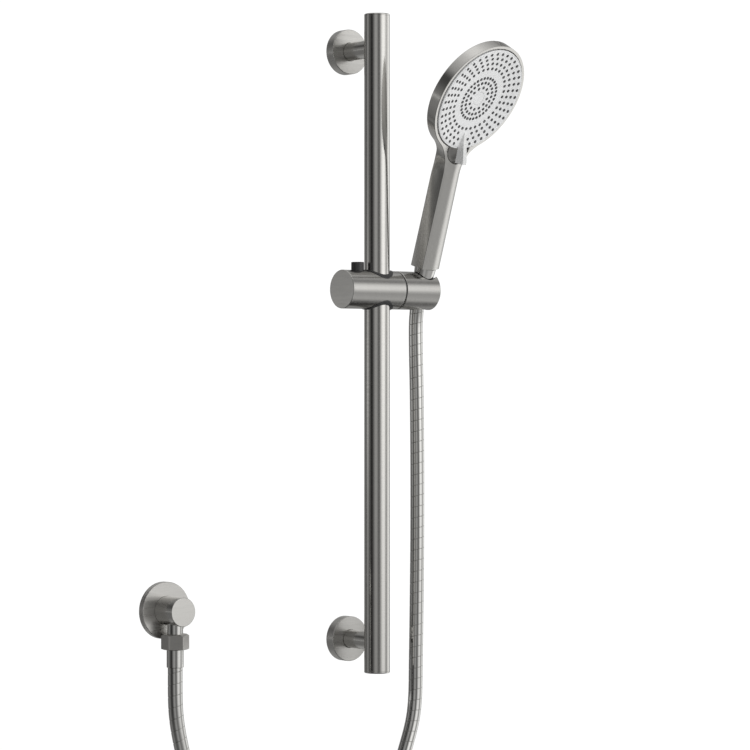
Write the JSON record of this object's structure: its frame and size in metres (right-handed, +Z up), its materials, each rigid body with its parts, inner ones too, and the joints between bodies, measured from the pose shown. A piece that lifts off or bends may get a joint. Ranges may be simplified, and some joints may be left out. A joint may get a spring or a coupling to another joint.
{
  "type": "handheld shower set",
  "caption": "Wall shower set: riser rail on two brackets, sliding and tilting holder, round handset with turning spray face, metal hose and wall outlet elbow.",
  "frame": {"origin": "centre of the lower bracket's wall face", "axes": "+Z up along the rail, +Y into the wall, +X to the right seen from the room"},
  "size_m": [0.3588, 0.1688, 0.964],
  "materials": {
    "brushed_nickel": "satin",
    "plated_plastic": "satin",
    "polished_steel": "polished",
    "hose_metal": "polished",
    "brass": "satin",
    "dark_plastic": "satin",
    "white_plastic": "satin",
    "silicone": "matte",
    "face_plate_plastic": "satin"
  },
  "bodies": {
    "wall_frame": {"riser_rail": "brushed_nickel", "rail_top_cap": "brushed_nickel", "rail_bottom_cap": "brushed_nickel", "upper_flange": "brushed_nickel", "upper_post": "brushed_nickel", "upper_wall_base": "polished_steel", "upper_grub_screw": "polished_steel", "upper_rail_insert": "brass", "upper_post_screw": "polished_steel", "lower_flange": "brushed_nickel", "lower_post": "brushed_nickel", "lower_wall_base": "polished_steel", "lower_grub_screw": "polished_steel", "lower_rail_insert": "brass", "lower_post_screw": "polished_steel", "outlet_rose": "brushed_nickel", "outlet_elbow": "brushed_nickel", "check_valve_cage": "white_plastic", "check_valve_spring": "polished_steel", "outlet_tail": "brass", "outlet_washer": "silicone", "outlet_ferrule": "brushed_nickel", "hose_outlet_leg": "hose_metal"},
    "slider": {"slider_body": "brushed_nickel", "slider_end_cap": "brushed_nickel", "rail_bush": "dark_plastic", "button_spring": "polished_steel", "friction_washer": "dark_plastic", "pivot_bolt": "polished_steel", "tension_washer": "polished_steel", "hose_slider_leg": "hose_metal"},
    "button": {"release_button": "dark_plastic"},
    "brake": {"brake_shoe": "white_plastic", "brake_pad": "dark_plastic"},
    "holder": {"holder_body": "brushed_nickel", "socket_liner": "dark_plastic", "hose_holder_end": "hose_metal"},
    "handset": {"handset_shell": "plated_plastic", "waterway_core": "white_plastic", "flow_restrictor": "silicone", "flow_chamber": "white_plastic", "diverter_seal": "silicone", "rim_seal": "silicone", "hose_washer": "silicone", "hose_tail": "brass", "hose_tail_ferrule": "polished_steel"},
    "cone_nut": {"hose_cone_nut": "polished_steel"},
    "spray_face": {"face_plate": "face_plate_plastic", "centre_cap": "face_plate_plastic", "face_screw": "polished_steel", "outer_nozzles": "silicone", "inner_nozzles": "silicone", "face_back_plate": "white_plastic", "diverter_disc": "white_plastic", "selector_lever": "face_plate_plastic"},
    "outlet_nut": {"hose_nut": "brushed_nickel"},
    "check_valve": {"check_valve_poppet": "white_plastic"}
  },
  "joints": [
    {"name": "slider_slide", "type": "slide", "parent": "wall_frame", "child": "slider", "axis": [0, 0, 1], "range_m": [-0.3, 0.19]},
    {"name": "release_button_press", "type": "slide", "parent": "slider", "child": "button", "axis": [0, 0, -1], "range_m": [0, 0.003], "stiffness_N_per_m": 900, "springref_m": -0.002, "deforming": ["button_spring"]},
    {"name": "brake_release", "type": "slide", "parent": "slider", "child": "brake", "axis": [-1, 0, 0], "range_m": [0, 0.0015]},
    {"name": "holder_tilt", "type": "hinge", "parent": "slider", "child": "holder", "pos_m": [0.0236, -0.052, 0.342], "axis": [1, 0, 0], "range_deg": [-18.9, 26]},
    {"name": "handset_lift", "type": "slide", "parent": "holder", "child": "handset", "axis": [0, -0.3239, 0.9461], "range_m": [0, 0.03]},
    {"name": "cone_nut_swivel", "type": "hinge", "parent": "handset", "child": "cone_nut", "pos_m": [0.0549, -0.052, 0.342], "axis": [0, -0.3239, 0.9461], "continuous": true},
    {"name": "spray_select", "type": "hinge", "parent": "handset", "child": "spray_face", "pos_m": [0.05849, -0.13813, 0.52359], "axis": [0.1519, -0.8302, -0.5364], "range_deg": [-30, 30]},
    {"name": "hose_nut_spin", "type": "hinge", "parent": "wall_frame", "child": "outlet_nut", "pos_m": [-0.217, -0.0205, 0.01], "axis": [0, 0, 1], "continuous": true},
    {"name": "check_valve_open", "type": "slide", "parent": "wall_frame", "child": "check_valve", "axis": [0, 0, -1], "range_m": [0, 0.0022], "stiffness_N_per_m": 40, "springref_m": -0.001, "deforming": ["check_valve_spring"]}
  ],
  "couplings": [
    {"joint": "brake_release", "follows": "release_button_press", "ratio": 0.5}
  ]
}
